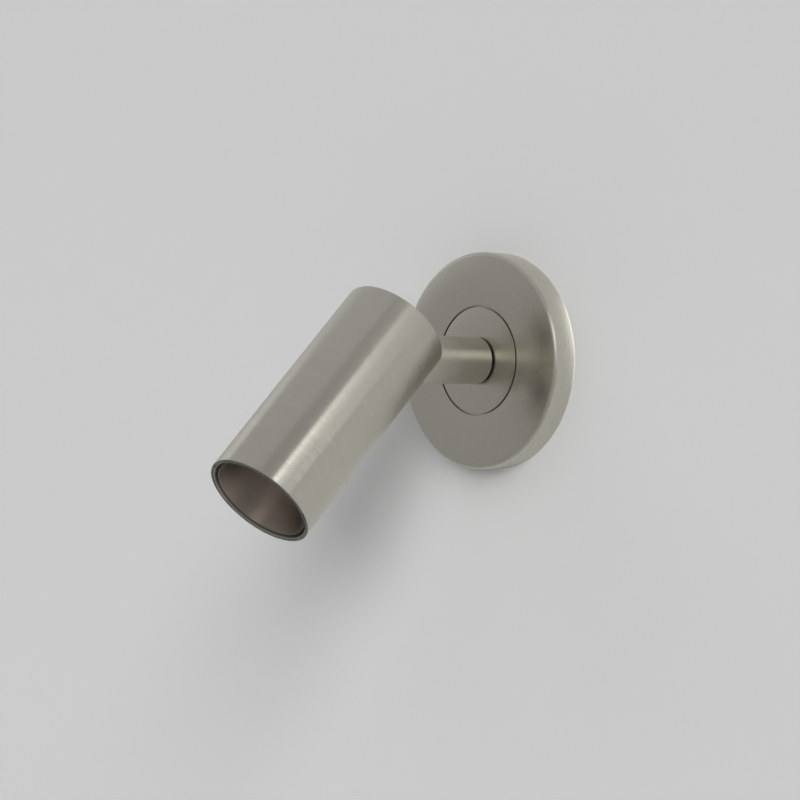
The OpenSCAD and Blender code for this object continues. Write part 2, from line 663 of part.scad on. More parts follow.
module pivot_bolt() color([0.60, 0.60, 0.60]) in_head() difference() {
    union() {
        cross_bar(bolt_r, -cheek_out - pivot_spring_t - pivot_nut_t - bolt_end, cheek_out, pivot_back);
        cross_bar(bolt_head_r, cheek_out, cheek_out + bolt_head_t, pivot_back);
    }
    translate([cheek_out + bolt_head_t - bolt_socket_depth, 0, pivot_back]) rotate([0, 90, 0])
        cylinder(r = bolt_socket_r, h = bolt_socket_depth + cut, $fn = 6);
}
module friction_washers() color([0.85, 0.83, 0.78]) in_head() for (side = [-1, 1])
    let (middle = side * (tongue_w / 2 + run_gap + friction_t / 2)) difference() {
        cross_bar(friction_r, middle - friction_t / 2, middle + friction_t / 2, pivot_back);
        cross_bar(bolt_r + fit_gap, middle - friction_t, middle + friction_t, pivot_back);
    }
module pivot_spring_washer() color([0.55, 0.55, 0.55]) in_head() difference() {
    cross_bar(bolt_head_r, -cheek_out - pivot_spring_t, -cheek_out, pivot_back);
    cross_bar(bolt_r + fit_gap, -cheek_out - pivot_spring_t - cut, -cheek_out + cut, pivot_back);
}
module pivot_nut() color([0.60, 0.60, 0.60]) in_head() difference() {
    translate([-cheek_out - pivot_spring_t, 0, pivot_back]) rotate([0, -90, 0]) hex_bar(pivot_nut_af, 0, pivot_nut_t);
    cross_bar(bolt_r + fit_gap, -cheek_out - pivot_spring_t - pivot_nut_t - cut, -cheek_out, pivot_back);
}
module lead_grommets() color([0.10, 0.10, 0.10]) in_head() for (side = [-1, 1])
    translate([side * lead_hole_side, 0, 0]) difference() {
        union() {
            bar(lead_grommet_r, carrier_back, carrier_front);
            bar(lead_grommet_flange_r, carrier_back - lead_grommet_flange_t, carrier_back);
            bar(lead_grommet_flange_r, carrier_front, carrier_front + lead_grommet_flange_t);
        }
        bar(lead_grommet_bore_r, carrier_back - cut, carrier_front + cut);
    }
module head_leads() color([0.35, 0.30, 0.28]) in_head() for (k = [0, 1])
    let (side = 1 - k * 2, far = lead_side[k], up = carrier_front + lead_entry_up)
        lead([for (j = [0 : 2]) [side * (far + lead_turn + lead_straight * (2 + j) + lead_meet_gap), 0, pivot_back],
            [side * (far + lead_turn * 2 + lead_straight * 4 + lead_meet_gap), 0, pivot_back + lead_turn],
            [side * lead_hole_side, 0, carrier_back - lead_d * 2], [side * lead_hole_side, 0, carrier_back],
            [side * lead_hole_side, 0, carrier_front + lead_grommet_flange_t],
            [side * (lead_hole_side - lead_r), 0, up - lead_r / 2], [side * (holder_d / 2 + lead_r), 0, up],
            [side * (pin_out + contact_r + lead_meet_gap * 2), 0, up]], [0, 1, 0]);
module lamp_holder() color([0.93, 0.91, 0.85]) in_head() difference() {
    bar(holder_d / 2, carrier_front, holder_front);
    for (side = [-1, 1]) {
        translate([side * pin_out, 0, 0]) bar(pin_hole_r, holder_front - pin_hole_depth, holder_front + cut);
        translate([side * pin_out, 0, 0]) bar(contact_r + fit_gap, carrier_front + contact_up, holder_front - cut);
        translate([side * pin_out, 0, carrier_front + lead_entry_up]) rotate([0, side * 90, 0])
            cylinder(r = holder_lead_r, h = holder_d);
        translate([0, side * holder_screw_out, 0])
            bar(holder_screw_r + fit_gap, carrier_front - cut, carrier_front + holder_screw_in);
    }
}
module holder_contacts() color([0.80, 0.62, 0.30]) in_head() for (side = [-1, 1]) translate([side * pin_out, 0, 0])
    bar(contact_r, carrier_front + contact_up, carrier_front + contact_up + contact_h);
module holder_screws() color([0.65, 0.65, 0.65]) in_head() for (side = [-1, 1])
    translate([0, side * holder_screw_out, 0]) {
        bar(holder_screw_r, carrier_back, carrier_front + holder_screw_in - fit_gap);
        bar(holder_screw_head_r, carrier_back - holder_screw_head_t, carrier_back);
    }
module lamp_base() color([0.92, 0.92, 0.90]) in_head() bar(lamp_base_r, lamp_back, lamp_back + lamp_base_h);
module lamp_pins() color([0.75, 0.75, 0.74]) in_head() for (side = [-1, 1]) translate([side * pin_out, 0, 0]) {
    bar(pin_shank_r, lamp_back - pin_length + pin_head_t, lamp_back);
    bar(pin_head_r, lamp_back - pin_length, lamp_back - pin_length + pin_head_t);
}
module lamp_body() color([0.80, 0.80, 0.80]) in_head() rotate_extrude() polygon([
    [0, lamp_back + lamp_base_h], [lamp_floor_r, lamp_back + lamp_base_h],
    [lamp_r, lamp_back + lamp_base_h + lamp_flare_h], [lamp_r, lamp_front], [lamp_r - lamp_wall, lamp_front],
    [lamp_r - lamp_wall, lamp_back + lamp_base_h + lamp_flare_h + lamp_wall],
    [board_r + lamp_wall, lamp_back + lamp_base_h + lamp_flare_h / 2], [0, lamp_back + lamp_base_h + lamp_flare_h / 2]]);
module lamp_board() color([0.93, 0.93, 0.90]) in_head() let (floor = lamp_back + lamp_base_h + lamp_flare_h / 2) {
    bar(board_r, floor, floor + board_t);
    for (k = [0 : board_led_count - 1]) rotate([0, 0, k * 360 / board_led_count])
        translate([board_led_orbit - board_led_w / 2, -board_led_w / 2, floor + board_t])
            cube([board_led_w, board_led_w, board_led_t]);
}
module lamp_lens() color([0.90, 0.90, 0.92]) in_head()
    bar(lamp_r - lamp_wall - fit_gap, lamp_front - lens_sunk - lens_t, lamp_front - lens_sunk);
module baffle() color([0.36, 0.33, 0.30]) in_head() rotate_extrude() polygon([
    [baffle_r, baffle_front], [baffle_r, baffle_front - baffle_straight / 2],
    [baffle_r - baffle_step, baffle_front - baffle_straight / 2],
    [baffle_r - baffle_step, baffle_front - baffle_straight],
    [baffle_throat_r + baffle_lip, baffle_back], [baffle_throat_r, baffle_back], [baffle_r - baffle_lip, baffle_front]]);
module baffle_ring() color([0.06, 0.06, 0.06]) in_head() let (top = baffle_front - baffle_straight / 2 - fit_gap)
    ring(head_bore_r - fit_gap, baffle_r - baffle_step + fit_gap, top - ring_h, top);

wall_plate();
centre_disc();
disc_ring_nut();
swivel_bush();
swivel_stop_pin();
backplate();
plate_screws();
cable_grommet();
terminal_block();
terminal_sleeves();
terminal_screws();
terminal_block_screws();
earth_lug();
earth_screw();
plate_leads();
earth_lead();
swivel_nipple();
swivel_tab_washer();
swivel_spring_washer();
swivel_nut();
stem_tube();
stem_knuckle();
knuckle_screw();
stem_leads();
head_tube();
rear_cap();
lamp_carrier();
carrier_screws();
pivot_bolt();
friction_washers();
pivot_spring_washer();
pivot_nut();
lead_grommets();
head_leads();
lamp_holder();
holder_contacts();
holder_screws();
lamp_base();
lamp_pins();
lamp_body();
lamp_board();
lamp_lens();
baffle();
baffle_ring();
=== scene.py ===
"""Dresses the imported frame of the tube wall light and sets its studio."""

import logging
import math
from dataclasses import dataclass, field, replace
from enum import Enum

import bmesh
import bpy
from mathutils import Matrix, Vector


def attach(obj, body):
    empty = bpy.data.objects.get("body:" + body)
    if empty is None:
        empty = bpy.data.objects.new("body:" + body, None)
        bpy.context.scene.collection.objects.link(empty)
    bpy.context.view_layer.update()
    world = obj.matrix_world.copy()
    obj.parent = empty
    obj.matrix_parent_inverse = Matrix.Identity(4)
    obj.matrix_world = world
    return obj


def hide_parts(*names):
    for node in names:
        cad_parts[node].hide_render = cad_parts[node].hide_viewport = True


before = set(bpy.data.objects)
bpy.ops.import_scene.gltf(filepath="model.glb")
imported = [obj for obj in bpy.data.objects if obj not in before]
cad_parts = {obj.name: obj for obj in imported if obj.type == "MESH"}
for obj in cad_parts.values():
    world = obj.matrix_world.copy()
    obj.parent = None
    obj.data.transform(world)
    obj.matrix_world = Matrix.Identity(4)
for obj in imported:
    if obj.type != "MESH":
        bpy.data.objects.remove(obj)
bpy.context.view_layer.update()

LOG = logging.getLogger("tube_wall_light")
MM = 0.001
QUARTER_TURN = math.radians(90)
OUTER_STEPS = 256
AXIS_STEPS = 192
BUSH_STEPS = 128
OVERSHOOT_MM = 1.0
MERGE_DISTANCE = 1e-7
RING_TOLERANCE_MM = 0.01
BEVEL_SEGMENTS = 4
SHARP_ANGLE = math.radians(28.0)
# The places of the colour sockets on a Mix node.
MIX_FACTOR, MIX_FIRST, MIX_SECOND, MIX_RESULT = 0, 6, 7, 2
HEAD_SHELL = "head_shell"


class Body(Enum):
    """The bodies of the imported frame."""

    WALL = "wall_unit"
    STEM = "stem"
    HEAD = "head"


class Finish(Enum):
    """The record's material slots that the remade pieces belong to."""

    NICKEL = "brushed_nickel"
    BRONZE = "bronze_baffle"
    BLACK_PLASTIC = "black_plastic"
    RUBBER = "black_rubber"


class Place(Enum):
    """The turning axes of the wall light: straight out of the wall, and along the head."""

    WALL_AXIS = "wall_axis"
    HEAD_AXIS = "head_axis"


@dataclass(frozen=True)
class Axis:
    """A turning axis, with local z along it."""

    start: tuple[float, float, float]
    tilt_deg: float

    def origin(self) -> Vector:
        """Gives the axis's starting point, in metres."""
        return Vector(self.start) * MM

    def matrix(self) -> Matrix:
        """Gives the matrix from the axis's own frame to the part's frame."""
        return Matrix.Translation(self.origin()) @ Matrix.Rotation(math.radians(self.tilt_deg), 4, "X")

    def direction(self) -> Vector:
        """Gives the axis's direction in the part's frame."""
        return self.matrix().to_3x3() @ Vector((0.0, 0.0, 1.0))


@dataclass(frozen=True)
class Layout:
    """The sizes that place the axes, in millimetres and degrees, as the solids have them."""

    pivot_out: float = 86.0
    pivot_back: float = 22.0
    wall_tilt: float = 90.0
    head_tilt: float = 45.0

    def axis(self, place: Place) -> Axis:
        """Gives one turning axis.

        Args:
            place: Which axis is wanted.

        Returns:
            The axis, from the wall or from the head tube's rear end.
        """
        if place is Place.WALL_AXIS:
            return Axis((0.0, 0.0, 0.0), self.wall_tilt)
        tilt_deg = self.wall_tilt + self.head_tilt
        turn = math.radians(tilt_deg)
        back = self.pivot_back
        return Axis((0.0, -self.pivot_out + back * math.sin(turn), -back * math.cos(turn)), tilt_deg)


LAYOUT = Layout()


# Meshes


@dataclass
class Turning:
    """A piece turned about an axis from a closed outline of radius and height, in millimetres."""

    outline: list[tuple[float, float]]
    steps: int = AXIS_STEPS
    rounds: list[tuple[float, float, float]] = field(default_factory=list)

    def build(self) -> bmesh.types.BMesh:
        """Spins the outline into a closed shell and rounds the named edges.

        Returns:
            The shell in the axis's own frame, in metres.
        """
        shell = bmesh.new()
        corners = [shell.verts.new((radius * MM, 0.0, height * MM)) for radius, height in self.outline]
        edges = [shell.edges.new((a, b)) for a, b in zip(corners, corners[1:] + corners[:1])
                 if a.co.x > 0.0 or b.co.x > 0.0]
        bmesh.ops.spin(shell, geom=corners + edges, cent=(0, 0, 0), axis=(0, 0, 1), angle=math.tau,
                       steps=self.steps, use_merge=True, use_duplicate=False)
        bmesh.ops.remove_doubles(shell, verts=shell.verts, dist=MERGE_DISTANCE)
        bmesh.ops.recalc_face_normals(shell, faces=shell.faces)
        for radius, height, size in self.rounds:
            ring = [edge for edge in shell.edges if self._on_ring(edge, radius, height)]
            bmesh.ops.bevel(shell, geom=ring, offset=size * MM, offset_type="OFFSET", affect="EDGES",
                            segments=BEVEL_SEGMENTS, profile=0.5, material=-1, clamp_overlap=True)
        return shell

    @staticmethod
    def _on_ring(edge: bmesh.types.BMEdge, radius: float, height: float) -> bool:
        """Tells whether an edge lies on the ring of one radius and height."""
        return all(abs(v.co.xy.length / MM - radius) < RING_TOLERANCE_MM
                   and abs(v.co.z / MM - height) < RING_TOLERANCE_MM for v in edge.verts)


def bar(radius: float, start: float, end: float, steps: int) -> bmesh.types.BMesh:
    """Makes a round bar along local z.

    Args:
        radius: Its radius in millimetres.
        start: Its lower height.
        end: Its upper height.
        steps: The facets round it.

    Returns:
        The bar, in metres.
    """
    shell = bmesh.new()
    middle = Matrix.Translation((0, 0, (start + end) / 2 * MM))
    bmesh.ops.create_cone(shell, cap_ends=True, segments=steps, radius1=radius * MM, radius2=radius * MM,
                          depth=(end - start) * MM, matrix=middle)
    return shell


def keyhole(radius: float, reach: float, low: float, high: float, steps: int = 96) -> bmesh.types.BMesh:
    """Makes a prism along local z: a half circle on the side of +y and a straight run towards -y.

    Args:
        radius: The half circle's radius in millimetres.
        reach: How far the straight run goes.
        low: The prism's lower height.
        high: Its upper height.
        steps: The facets of the half circle.

    Returns:
        The prism, in metres.
    """
    shell = bmesh.new()
    turns = [math.pi * step / steps for step in range(steps + 1)]
    outline = [(radius * math.cos(turn), radius * math.sin(turn)) for turn in turns]
    outline += [(-radius, -reach), (radius, -reach)]
    face = shell.faces.new([shell.verts.new((x * MM, y * MM, low * MM)) for x, y in outline])
    grown = bmesh.ops.extrude_face_region(shell, geom=[face])
    bmesh.ops.translate(shell, vec=(0.0, 0.0, (high - low) * MM),
                        verts=[item for item in grown["geom"] if isinstance(item, bmesh.types.BMVert)])
    bmesh.ops.recalc_face_normals(shell, faces=shell.faces)
    return shell


def moved(shell: bmesh.types.BMesh, matrix: Matrix) -> bmesh.types.BMesh:
    """Moves a shell and gives it back."""
    bmesh.ops.transform(shell, matrix=matrix, verts=shell.verts)
    return shell


def across_at(y_mm: float, z_mm: float, turn_deg: float = 0.0) -> Matrix:
    """Gives the matrix that lays a shell's z along -y and moves it.

    Args:
        y_mm: How far it moves along y.
        z_mm: How far it moves along z.
        turn_deg: How far it turns about z before it moves.

    Returns:
        The matrix, in metres.
    """
    turn = Matrix.Rotation(math.radians(turn_deg), 4, "Z") @ Matrix.Rotation(QUARTER_TURN, 4, "X")
    return Matrix.Translation((0.0, y_mm * MM, z_mm * MM)) @ turn


def to_object(shell: bmesh.types.BMesh, name: str) -> bpy.types.Object:
    """Turns a shell into an object of the scene.

    Args:
        shell: The shell, which is used up.
        name: The object's name.

    Returns:
        The new object, at the origin.
    """
    mesh = bpy.data.meshes.new(name)
    shell.to_mesh(mesh)
    shell.free()
    piece = bpy.data.objects.new(name, mesh)
    bpy.context.scene.collection.objects.link(piece)
    return piece


def carve(piece: bpy.types.Object, cutters: list[bmesh.types.BMesh]) -> None:
    """Cuts shapes out of a piece.

    Args:
        piece: The piece, whose mesh is replaced by the cut one.
        cutters: Closed shells in the part's frame, which are used up.
    """
    tools = [to_object(shell, f"cutter_{number}") for number, shell in enumerate(cutters)]
    for tool in tools:
        cut = piece.modifiers.new("cut", "BOOLEAN")
        cut.operation = "DIFFERENCE"
        cut.solver = "EXACT"
        cut.object = tool
    bpy.context.view_layer.update()
    seen = piece.evaluated_get(bpy.context.evaluated_depsgraph_get())
    mesh = bpy.data.meshes.new_from_object(seen)
    piece.modifiers.clear()
    old = piece.data
    piece.data = mesh
    bpy.data.meshes.remove(old)
    for tool in tools:
        shape = tool.data
        bpy.data.objects.remove(tool)
        bpy.data.meshes.remove(shape)


# Materials


class Net:
    """A node tree under construction."""

    def __init__(self, tree: bpy.types.NodeTree) -> None:
        """Takes the tree and empties it."""
        self.tree = tree
        tree.nodes.clear()

    def add(self, kind: str, **settings: object) -> bpy.types.Node:
        """Adds a node.

        Args:
            kind: The node's type, without the words ShaderNode.
            settings: Its properties.

        Returns:
            The new node.
        """
        name = kind if kind.startswith("NodeGroup") else f"ShaderNode{kind}"
        node = self.tree.nodes.new(name)
        for key, value in settings.items():
            setattr(node, key, value)
        return node

    def link(self, source: bpy.types.NodeSocket, target: bpy.types.NodeSocket) -> None:
        """Links two sockets."""
        self.tree.links.new(source, target)

    def feed(self, target: bpy.types.NodeSocket, given: object) -> None:
        """Links a socket to an input, or writes a plain value on it.

        Args:
            target: The input.
            given: The socket or the value.
        """
        if isinstance(given, bpy.types.NodeSocket):
            self.link(given, target)
        else:
            target.default_value = given

    def noise(self, place: bpy.types.NodeSocket, detail: float, **values: object) -> bpy.types.NodeSocket:
        """Adds a noise.

        Args:
            place: The socket of the place that it is read at.
            detail: How many octaves it has.
            values: Its other inputs, each a socket or a number.

        Returns:
            The noise's socket.
        """
        node = self.add("TexNoise", noise_dimensions="3D")
        node.inputs["Detail"].default_value = detail
        for name, given in values.items():
            self.feed(node.inputs[name], given)
        self.link(place, node.inputs["Vector"])
        return node.outputs["Fac"]

    def maths(self, operation: str, first: object, second: object = 0.0) -> bpy.types.NodeSocket:
        """Adds a calculation on two values.

        Args:
            operation: The Math node's operation.
            first: A socket or a number.
            second: A socket or a number.

        Returns:
            The result's socket.
        """
        node = self.add("Math", operation=operation)
        self.feed(node.inputs[0], first)
        self.feed(node.inputs[1], second)
        return node.outputs[0]

    def vector(self, operation: str, first: object,
               second: object = (0.0, 0.0, 0.0)) -> bpy.types.NodeSocket:
        """Adds a calculation on two vectors.

        Args:
            operation: The Vector Math node's operation.
            first: A socket or a vector.
            second: A socket or a vector.

        Returns:
            The result's socket.
        """
        node = self.add("VectorMath", operation=operation)
        self.feed(node.inputs[0], first)
        self.feed(node.inputs[1], second)
        return node.outputs["Value" if operation == "LENGTH" else "Vector"]

    def ramp(self, value: bpy.types.NodeSocket, low: float, high: float, start: object, end: object,
             smooth: bool = False) -> bpy.types.NodeSocket:
        """Maps one range of a value to another.

        Args:
            value: The value's socket.
            low: The value that gives the start.
            high: The value that gives the end.
            start: The first result, a number or a socket.
            end: The last result, a number or a socket.
            smooth: Whether the way between is eased.

        Returns:
            The result's socket.
        """
        node = self.add("MapRange", interpolation_type="SMOOTHSTEP" if smooth else "LINEAR", clamp=True)
        self.link(value, node.inputs["Value"])
        node.inputs["From Min"].default_value = low
        node.inputs["From Max"].default_value = high
        self.feed(node.inputs["To Min"], start)
        self.feed(node.inputs["To Max"], end)
        return node.outputs["Result"]

    def blend(self, amount: bpy.types.NodeSocket, first: bpy.types.NodeSocket,
              second: bpy.types.NodeSocket) -> bpy.types.NodeSocket:
        """Blends two colours.

        Args:
            amount: The socket of the second colour's share, from 0 to 1.
            first: The first colour's socket.
            second: The second colour's socket.

        Returns:
            The result's socket.
        """
        node = self.add("Mix", data_type="RGBA", clamp_factor=True)
        self.link(amount, node.inputs[MIX_FACTOR])
        self.link(first, node.inputs[MIX_FIRST])
        self.link(second, node.inputs[MIX_SECOND])
        return node.outputs[MIX_RESULT]

    def blend_shaders(self, amount: bpy.types.NodeSocket, first: bpy.types.NodeSocket,
                      second: bpy.types.NodeSocket) -> bpy.types.NodeSocket:
        """Blends two shaders.

        Args:
            amount: The socket of the second shader's share, from 0 to 1.
            first: The first shader's socket.
            second: The second shader's socket.

        Returns:
            The result's socket.
        """
        node = self.add("MixShader")
        for place, given in enumerate((amount, first, second)):
            self.link(given, node.inputs[place])
        return node.outputs[0]


def new_group(name: str, values: dict[str, float]) -> tuple[Net, bpy.types.Node, bpy.types.Node]:
    """Starts a shader node group that gives Color, Roughness and Height.

    Args:
        name: The group's name.
        values: Its number inputs and their defaults.

    Returns:
        The net, the group's input node and its output node.
    """
    tree = bpy.data.node_groups.new(name, "ShaderNodeTree")
    tree.interface.new_socket("Vector", in_out="INPUT", socket_type="NodeSocketVector")
    for word in ("Dark", "Light"):
        tree.interface.new_socket(word, in_out="INPUT", socket_type="NodeSocketColor")
    for word, value in values.items():
        tree.interface.new_socket(word, in_out="INPUT", socket_type="NodeSocketFloat").default_value = value
    for word, kind in (("Color", "Color"), ("Roughness", "Float"), ("Height", "Float")):
        tree.interface.new_socket(word, in_out="OUTPUT", socket_type=f"NodeSocket{kind}")
    net = Net(tree)
    return net, net.add("NodeGroupInput"), net.add("NodeGroupOutput")


def brushed_group() -> bpy.types.NodeTree:
    """Builds the brush lines that run round a turned piece, whose axis is the vector's z.

    Returns:
        The node group.
    """
    net, given, put = new_group(Pattern.BRUSHED.value, {"Lines": 2600.0, "Drift": 9.0, "Smooth": 0.3,
                                                        "Rough": 0.4, "Mottle": 0.3})
    low, high, line_share = 0.3, 0.7, 0.7
    split = net.add("SeparateXYZ")
    net.link(given.outputs["Vector"], split.inputs[0])
    across, place = net.add("CombineXYZ"), net.add("CombineXYZ")
    for word in ("X", "Y"):
        net.link(split.outputs[word], across.inputs[word])
        net.link(net.maths("MULTIPLY", split.outputs[word], given.outputs["Drift"]), place.inputs[word])
    along = net.maths("ADD", net.vector("LENGTH", across.outputs[0]), split.outputs["Z"])
    net.link(net.maths("MULTIPLY", along, given.outputs["Lines"]), place.inputs["Z"])
    fine = net.noise(place.outputs[0], 4.0, Scale=1.0, Roughness=0.62)
    broad = net.noise(given.outputs["Vector"], 2.0, Scale=38.0)
    lines = net.ramp(fine, low, high, 0.0, 1.0)
    mottle = net.ramp(broad, low, high, 0.0, given.outputs["Mottle"], True)
    tone = net.maths("ADD", net.maths("MULTIPLY", lines, line_share), mottle)
    net.link(net.blend(tone, given.outputs["Dark"], given.outputs["Light"]), put.inputs["Color"])
    gloss = net.ramp(lines, 0.0, 1.0, given.outputs["Rough"], given.outputs["Smooth"])
    net.link(gloss, put.inputs["Roughness"])
    net.link(lines, put.inputs["Height"])
    return net.tree


def grain_group() -> bpy.types.NodeTree:
    """Builds the fine even grain of moulded, cast and plated surfaces.

    Returns:
        The node group.
    """
    net, given, put = new_group(Pattern.GRAIN.value, {"Scale": 900.0, "Smooth": 0.4, "Rough": 0.55,
                                                      "Cloud": 60.0})
    low, high, spot_share, cloud_share = 0.32, 0.68, 0.45, 0.55
    fine = net.noise(given.outputs["Vector"], 3.0, Scale=given.outputs["Scale"], Roughness=0.55)
    broad = net.noise(given.outputs["Vector"], 2.0, Scale=given.outputs["Cloud"])
    spots = net.ramp(fine, low, high, 0.0, 1.0)
    cloud = net.ramp(broad, low, high, 0.0, 1.0, True)
    tone = net.maths("ADD", net.maths("MULTIPLY", spots, spot_share),
                     net.maths("MULTIPLY", cloud, cloud_share))
    net.link(net.blend(tone, given.outputs["Dark"], given.outputs["Light"]), put.inputs["Color"])
    gloss = net.ramp(cloud, 0.0, 1.0, given.outputs["Smooth"], given.outputs["Rough"])
    net.link(gloss, put.inputs["Roughness"])
    net.link(spots, put.inputs["Height"])
    return net.tree


class Pattern(Enum):
    """The shared surface patterns."""

    BRUSHED = "turned_brush_lines"
    GRAIN = "even_grain"

    def tree(self) -> bpy.types.NodeTree:
        """Gives the pattern's node group, which its first use builds.

        Returns:
            The node group.
        """
        if self.value not in bpy.data.node_groups:
            brushed_group() if self is Pattern.BRUSHED else grain_group()
        return bpy.data.node_groups[self.value]


@dataclass(frozen=True)
class Surface:
    """A finish: its colours, its gloss, and the pattern that varies them."""

    name: str
    dark: tuple[float, float, float]
    light: tuple[float, float, float]
    smooth: float
    rough: float
    pattern: Pattern = Pattern.GRAIN
    metallic: float = 0.0
    anisotropy: float = 0.0
    coat: float = 0.0
    coat_roughness: float = 0.1
    bump: float = 0.15
    depth_mm: float = 0.02
    scale: float = 900.0
    drift: float = 9.0
    mottle: float = 0.3
    cloud: float = 60.0
    subsurface: float = 0.0
    place: Place = Place.WALL_AXIS

    def material(self) -> bpy.types.Material:
        """Builds the finish, or gives the one that was built before.

        Returns:
            The material.
        """
        made = bpy.data.materials.get(self.name)
        if made is not None:
            return made
        made = bpy.data.materials.new(self.name)
        made.use_nodes = True
        net = Net(made.node_tree)
        shader = net.add("BsdfPrincipled")
        output = net.add("OutputMaterial")
        net.link(shader.outputs[0], output.inputs["Surface"])
        for word, value in {"Metallic": self.metallic, "Anisotropic": self.anisotropy,
                            "Coat Weight": self.coat, "Coat Roughness": self.coat_roughness,
                            "Subsurface Weight": self.subsurface}.items():
            shader.inputs[word].default_value = value
        pattern = net.add("Group", node_tree=self.pattern.tree())
        net.link(self._local(net), pattern.inputs["Vector"])
        values = {"Dark": (*self.dark, 1.0), "Light": (*self.light, 1.0), "Smooth": self.smooth,
                  "Rough": self.rough}
        if self.pattern is Pattern.BRUSHED:
            values |= {"Lines": self.scale, "Drift": self.drift, "Mottle": self.mottle}
        else:
            values |= {"Scale": self.scale, "Cloud": self.cloud}
        for word, value in values.items():
            pattern.inputs[word].default_value = value
        bump = net.add("Bump")
        bump.inputs["Strength"].default_value = self.bump
        bump.inputs["Distance"].default_value = self.depth_mm * MM
        net.link(pattern.outputs["Height"], bump.inputs["Height"])
        net.link(pattern.outputs["Color"], shader.inputs["Base Color"])
        net.link(pattern.outputs["Roughness"], shader.inputs["Roughness"])
        net.link(bump.outputs["Normal"], shader.inputs["Normal"])
        if self.anisotropy > 0.0:
            net.link(self._across_grooves(net), shader.inputs["Tangent"])
        return made

    def _local(self, net: Net) -> bpy.types.NodeSocket:
        """Turns Object coordinates into the frame of the piece's axis.

        Args:
            net: The material's net.

        Returns:
            The socket of the local place, in metres, with z along the axis.
        """
        axis = LAYOUT.axis(self.place)
        place = net.add("TexCoord")
        mapping = net.add("Mapping", vector_type="TEXTURE")
        mapping.inputs["Location"].default_value = axis.origin()
        mapping.inputs["Rotation"].default_value = (math.radians(axis.tilt_deg), 0.0, 0.0)
        net.link(place.outputs["Object"], mapping.inputs["Vector"])
        return mapping.outputs[0]

    def _across_grooves(self, net: Net) -> bpy.types.NodeSocket:
        """Finds the direction on the surface that crosses the circular brush lines.

        Args:
            net: The material's net.

        Returns:
            The direction's socket, in world space.
        """
        axis = LAYOUT.axis(self.place)
        place = net.add("TexCoord")
        arm = net.vector("SUBTRACT", place.outputs["Object"], axis.origin())
        groove = net.vector("CROSS_PRODUCT", axis.direction(), arm)
        turn = net.add("VectorTransform", vector_type="VECTOR", convert_from="OBJECT", convert_to="WORLD")
        net.link(net.vector("NORMALIZE", groove), turn.inputs[0])
        skin = net.add("NewGeometry")
        return net.vector("NORMALIZE", net.vector("CROSS_PRODUCT", turn.outputs[0], skin.outputs["Normal"]))


def nickel(place: Place, grooved: bool = True) -> Surface:
    """Gives the brushed nickel of the pieces that were turned about one axis.

    Args:
        place: The axis that the brush lines run round.
        grooved: Whether the lines are deep enough to draw a light out along the axis, as on the tubes.

    Returns:
        The finish.
    """
    satin = Surface(f"nickel_{place.value}_satin", (0.573, 0.556, 0.486), (0.585, 0.567, 0.497), 0.27, 0.29,
                    pattern=Pattern.BRUSHED, metallic=1.0, bump=0.001, depth_mm=0.01, scale=1000.0,
                    drift=90.0, mottle=0.15, place=place)
    if not grooved:
        return satin
    return replace(satin, name=f"nickel_{place.value}", smooth=0.265, rough=0.355, anisotropy=0.92,
                   bump=0.05)


@dataclass(frozen=True)
class Palette:
    """Every finish of the wall light but the brushed nickel."""

    bronze: Surface = Surface("bronze_brown", (0.355, 0.300, 0.262), (0.400, 0.340, 0.300), 0.32, 0.38,
                              metallic=1.0, anisotropy=0.7, bump=0.03, scale=1500.0, place=Place.HEAD_AXIS)
    # The baffle's front lip is near-black: painted shade for the dark gap between the tube's mouth and the
    # baffle.
    bronze_lip_shade: Surface = Surface("bronze_lip_painted_shade", (0.035, 0.031, 0.028), (0.07, 0.062, 0.055), 0.5, 0.6,
                                   metallic=1.0, bump=0.1, scale=1500.0, place=Place.HEAD_AXIS)
    # The tube's front rim is near-black with a random mottle. The near-black is painted shade for the dark
    # that the rim reflects.
    nickel_rim_shade: Surface = Surface("nickel_rim_painted_shade", (0.05, 0.05, 0.046), (0.32, 0.315, 0.29), 0.42, 0.55,
                                   metallic=1.0, bump=0.2, scale=700.0, cloud=160.0, place=Place.HEAD_AXIS)
    black_plastic: Surface = Surface("black_moulding", (0.012, 0.012, 0.012), (0.025, 0.025, 0.025), 0.38,
                                     0.55)
    white_plastic: Surface = Surface("white_moulding", (0.70, 0.69, 0.65), (0.80, 0.79, 0.76), 0.32, 0.45,
                                     subsurface=0.05)
    rubber: Surface = Surface("black_rubber_skin", (0.010, 0.010, 0.010), (0.022, 0.021, 0.020), 0.62, 0.82,
                              bump=0.3)
    lead: Surface = Surface("brown_jacket", (0.12, 0.075, 0.05), (0.17, 0.11, 0.075), 0.35, 0.5)
    earth: Surface = Surface("green_yellow_jacket", (0.10, 0.30, 0.05), (0.55, 0.52, 0.05), 0.35, 0.5,
                             scale=80.0, cloud=160.0)
    brass: Surface = Surface("turned_brass", (0.52, 0.37, 0.15), (0.68, 0.51, 0.24), 0.24, 0.36,
                             metallic=1.0, bump=0.1)
    steel: Surface = Surface("bright_steel_skin", (0.42, 0.42, 0.41), (0.58, 0.58, 0.57), 0.22, 0.34,
                             metallic=1.0, bump=0.1)
    zinc: Surface = Surface("plated_zinc", (0.47, 0.48, 0.49), (0.56, 0.57, 0.58), 0.34, 0.44, metallic=1.0,
                            bump=0.12, scale=500.0, cloud=210.0)
    ceramic: Surface = Surface("glazed_ceramic", (0.72, 0.70, 0.64), (0.82, 0.80, 0.75), 0.22, 0.4,
                               coat=0.3)
    shell: Surface = Surface("cast_lamp_shell", (0.55, 0.55, 0.55), (0.68, 0.68, 0.68), 0.3, 0.42,
                             metallic=0.6, bump=0.1, place=Place.HEAD_AXIS)
    lens: Surface = Surface("frosted_lens", (0.62, 0.62, 0.63), (0.78, 0.78, 0.79), 0.25, 0.4, coat=0.4,
                            bump=0.25, scale=420.0, place=Place.HEAD_AXIS)


PALETTE = Palette()


